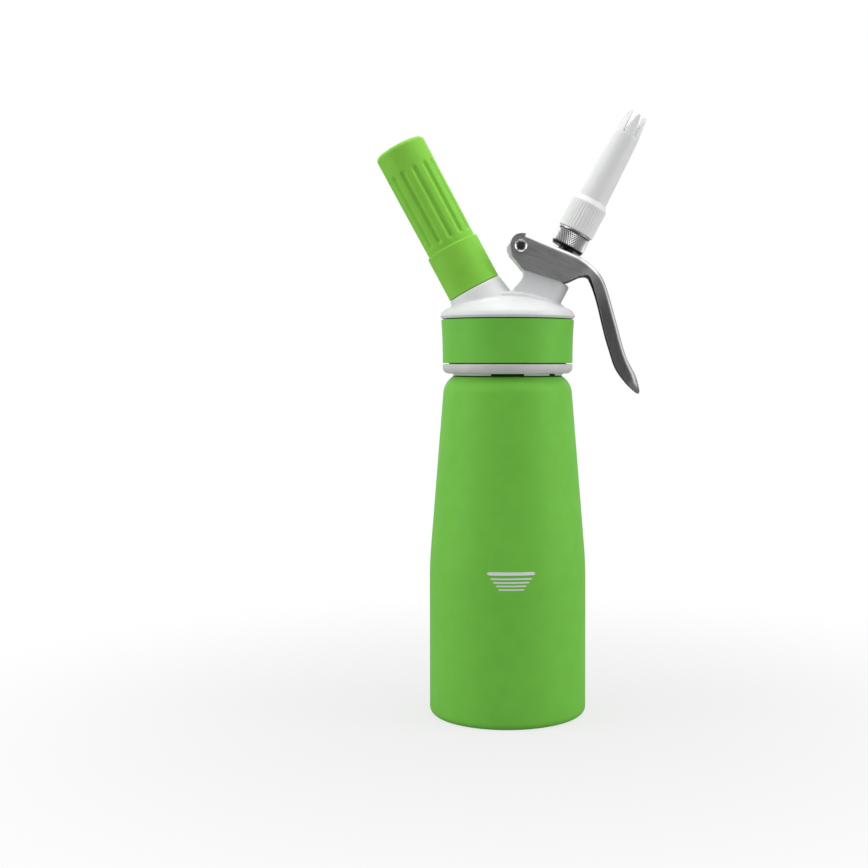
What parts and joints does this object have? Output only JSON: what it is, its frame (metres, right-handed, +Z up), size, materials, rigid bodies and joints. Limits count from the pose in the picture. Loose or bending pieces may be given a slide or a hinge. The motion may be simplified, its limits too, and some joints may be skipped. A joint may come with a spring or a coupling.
{
  "type": "whipped cream dispenser",
  "caption": "Whipped cream dispenser: green lacquered bottle, white screw-on head with a squeeze lever, leaning decorator tip and leaning screw-on gas charger holder.",
  "frame": {"origin": "centre of the bottle's flat base, on the surface that it stands on", "axes": "+Z up along the bottle's axis; +X towards the lever and the decorator tip, -X towards the charger holder; XZ is the plane of symmetry"},
  "size_m": [0.1304, 0.076, 0.2928],
  "materials": {
    "green_lacquer": "satin",
    "green_band": "satin",
    "green_sleeve": "satin",
    "white_plastic": "satin",
    "pale_ring": "satin",
    "brushed_lever": "satin",
    "polished_steel": "polished",
    "knurled_steel": "satin",
    "turned_steel": "satin",
    "charger_steel": "satin",
    "plated_brass": "satin",
    "holder_aluminium": "satin",
    "seal_silicone": "matte"
  },
  "bodies": {
    "bottle": {"bottle": "green_lacquer"},
    "gasket": {"head_gasket": "seal_silicone"},
    "head": {"head_body": "white_plastic", "lower_ring": "pale_ring", "grip_band": "green_band", "charger_port": "plated_brass", "piercing_pin": "turned_steel", "piercing_seal": "seal_silicone", "check_valve": "seal_silicone", "hinge_pin": "polished_steel", "hinge_screw": "polished_steel", "valve_spring": "turned_steel"},
    "lever": {"lever": "brushed_lever"},
    "valve": {"valve_stem": "polished_steel", "valve_seal": "seal_silicone", "stem_o_rings": "seal_silicone", "stem_collar": "white_plastic", "tip_adapter": "knurled_steel", "adapter_gasket": "seal_silicone"},
    "tip": {"decorator_tip": "white_plastic"},
    "charger": {"gas_charger": "charger_steel"},
    "holder": {"holder_shell": "holder_aluminium", "holder_sleeve": "green_sleeve"}
  },
  "joints": [
    {"name": "gasket_lift", "type": "slide", "parent": "bottle", "child": "gasket", "axis": [0, 0, 1], "range_m": [0, 0.01801]},
    {"name": "head_turn", "type": "hinge", "parent": "gasket", "child": "head", "pos_m": [0, 0, 0.1854], "axis": [0, 0, 1], "range_deg": [0, 1800]},
    {"name": "lever_squeeze", "type": "hinge", "parent": "head", "child": "lever", "pos_m": [0.00639, 0, 0.22644], "axis": [0, 1, 0], "range_deg": [0, 10], "stiffness_Nm_per_rad": 0.195, "springref_deg": -23.2},
    {"name": "valve_travel", "type": "slide", "parent": "head", "child": "valve", "axis": [-0.4726, 0, -0.8813], "range_m": [0, 0.00346], "stiffness_N_per_m": 500, "springref_m": -0.008, "deforming": ["valve_spring"]},
    {"name": "tip_lift", "type": "slide", "parent": "valve", "child": "tip", "axis": [0.4726, 0, 0.8813], "range_m": [0, 0.03]},
    {"name": "charger_lift", "type": "slide", "parent": "head", "child": "charger", "axis": [-0.4726, 0, 0.8813], "range_m": [0, 0.01351]},
    {"name": "holder_turn", "type": "hinge", "parent": "charger", "child": "holder", "pos_m": [0.001, 0, 0.1747], "axis": [-0.4726, 0, 0.8813], "range_deg": [0, 2160]}
  ],
  "couplings": [
    {"joint": "gasket_lift", "follows": "head_turn", "m_per_rad": 0.00057296},
    {"joint": "valve_travel", "follows": "lever_squeeze", "m_per_rad": 0.019751},
    {"joint": "charger_lift", "follows": "holder_turn", "m_per_rad": 0.0003581}
  ]
}
